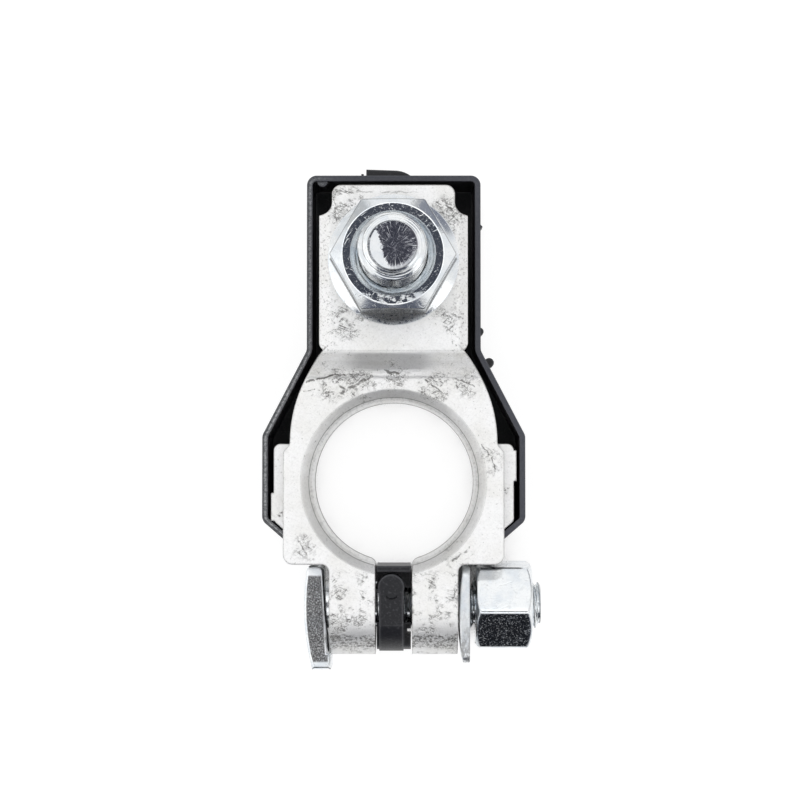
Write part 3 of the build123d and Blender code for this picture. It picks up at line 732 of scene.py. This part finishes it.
# Ear spacer
earSpacer = {
    "edges": 0.16,
    "plastic": {
        "colour": (0.0055, 0.006, 0.009, 1.0), "roughness": 0.32,
        # the last of these sets the painted highlight along the edges
        "grain": 3.2, "edge": 0.3, "edgeHighlight": 0.9,
        "dent": (-0.25, -14.2, 0.9, 0.13),  # x, y, radius of its bend, half width
    },
}
spacer = piece("earSpacer", fromNode("ear_spacer"), moulded("spacerPlastic", **earSpacer["plastic"]),
               "clamp", "ear_spacer")
rounded(spacer, earSpacer["edges"])
print("ear spacer ready")

# Insulating cover
insulatingCover = {
    "edges": 0.2,
    "plastic": {
        "colour": (0.012, 0.0125, 0.015, 1.0), "roughness": 0.3,
        # the rim's painted sheen and highlight, flecked with dust, strongest on the left
        "dustAndSheen": {
            "across": (-7.0, -12.5), "from": (9.3, 9.7), "soft": 0.45,
            "middle": 12.0, "lean": -0.5, "ridge": (0.9, 0.25),
            "plain": (0.045, 0.048, 0.062, 1.0), "grey": (0.028, 0.03, 0.035, 1.0),
            "pale": (0.6, 0.61, 0.62, 1.0),
        },
    },
}
cover = piece("insulatingCover", fromNode("insulating_cover"),
              moulded("coverPlastic", **insulatingCover["plastic"]),
              "clamp", "insulating_cover")
rounded(cover, insulatingCover["edges"])
print("insulating cover ready")

# Floor, light and camera
studio = {
    "floorSize": 3.0, "floorZ": -1.0, "floor": 0.85, "glow": 0.84, "shade": 0.26, "dimmer": 0.02,
    "gapDepth": 9.0, "gap": (0.22, 0.37), "gapShade": 0.01,  # painted shade: the floor is darkened deep in the narrow gaps
    "clothFront": (-55.0, -75.0), "clothSide": (400.0, 300.0), "clothDark": 0.58,  # in front of the bench
    "levels": ((0.0, 0.9), (0.35, 0.97), (0.7, 1.02), (0.88, 1.5)),  # height of the direction, brightness
    "dusk": (0.82, 0.9, 1.15, 1.0),  # the dark cards are bluish
    "cap": (0.962, 0.984, 0.05),  # the dark patch where the camera stands: start, end, level
    "cards": [  # dark and bright cards beside the bench: azimuth, height, half width, softness, level
        (-106, 15, 20, 10, 0.11), (-74, 15, 20, 10, 0.11), (50, 14, 14, 12, 0.3), (130, 22, 8, 12, 0.6),
        (185, 8, 14, 12, 1.35), (-38, 8, 14, 10, 1.5), (-142, 8, 12, 10, 1.4),
    ],
}


def studioFloor():
    mesh = bpy.data.meshes.new("floor")
    half = studio["floorSize"] / 2
    level = studio["floorZ"] * mm
    corners = [(-half, -half, level), (half, -half, level), (half, half, level), (-half, half, level)]
    mesh.from_pydata(corners, [], [(0, 1, 2, 3)])
    floor = bpy.data.objects.new("floor", mesh)
    bpy.context.scene.collection.objects.link(floor)
    f = Finish("paleFloor")
    # Painted shade: an ambient occlusion node darkens the floor's glow and colour deep in narrow gaps
    clear = f.add("AmbientOcclusion", {"samples": 12}, {"Distance": studio["gapDepth"] * mm}, out="AO")
    lit = clear.ramp(*studio["gap"])
    glossy = f.add("LightPath", out="Is Glossy Ray")
    seen = f.add("LightPath", out="Is Camera Ray").high(glossy)
    seen = seen.high(f.add("LightPath", out="Is Transmission Ray"))
    x, y = f.split(f.place())[:2]
    darkCloth = y.ramp(*studio["clothFront"]) * abs(x).ramp(*studio["clothSide"])
    glow = studio["glow"] - glossy * (darkCloth * studio["clothDark"] + studio["dimmer"])
    pale = f.add("BsdfDiffuse", {}, {"Color": grey(studio["floor"])})
    shadow = f.add("BsdfDiffuse", {}, {"Color": f.mix(lit, grey(studio["gapShade"]), grey(studio["shade"]))})
    shine = f.add("Emission", {}, {"Color": grey(1.0), "Strength": lit * glow})
    shown = f.add("AddShader", {}, {0: shadow, 1: shine})
    f.add("OutputMaterial", {}, {"Surface": f.add("MixShader", {}, {0: seen, 1: pale, 2: shown})})
    mesh.materials.append(f.holder)


def studioLight():
    world = bpy.data.worlds.new("studio")
    bpy.context.scene.world = world
    f = Finish("studio", world)
    heading = f.add("TexCoord", out="Generated")
    z = f.split(heading)[2]
    heights, shades = zip(*studio["levels"])
    level = shades[0]
    for i in range(1, len(heights)):
        level = level + z.ramp(heights[i - 1], heights[i], 0.0, shades[i] - shades[i - 1])
    capStart, capEnd, capLevel = studio["cap"]
    level = level * z.ramp(capStart, capEnd, 1.0, capLevel)
    for azimuth, height, half, soft, dim in studio["cards"]:
        a, h = radians(azimuth), radians(height)
        toCard = (cos(a) * cos(h), sin(a) * cos(h), sin(h))
        facing = f.add("VectorMath", {"operation": "DOT_PRODUCT"}, {0: heading, 1: toCard}, out=1)
        level = level * facing.ramp(cos(radians(half + soft)), cos(radians(half)), 1.0, dim)
    colour = f.mix(level.ramp(0.1, 0.6), studio["dusk"], grey(1.0))
    f.add("OutputWorld", {}, {"Surface": f.add("Background", {}, {"Color": colour, "Strength": level})})


view = {
    "place": (1.933, 0.889, 271.69), "aim": (0.725, 10.45, 0.0),
    "focal": 2131.2, "frame": 800, "sensor": 36.0,  # the focal length is in pixels of the frame
}


def studioCamera():
    data = bpy.data.cameras.new("camera")
    camera = bpy.data.objects.new("camera", data)
    bpy.context.scene.collection.objects.link(camera)
    data.sensor_width = view["sensor"]
    data.lens = view["focal"] / view["frame"] * view["sensor"]
    data.clip_start, data.clip_end = 0.01, 10.0
    place, aim = Vector(view["place"]) * mm, Vector(view["aim"]) * mm
    forward = (aim - place).normalized()
    right = forward.cross(Vector((0, 1, 0))).normalized()
    up = right.cross(forward)
    camera.matrix_world = Matrix.Translation(place) @ Matrix((right, up, -forward)).transposed().to_4x4()
    bpy.context.scene.camera = camera


studioFloor()
studioLight()
studioCamera()
bpy.context.scene.view_settings.view_transform = "Standard"
print("studio ready")
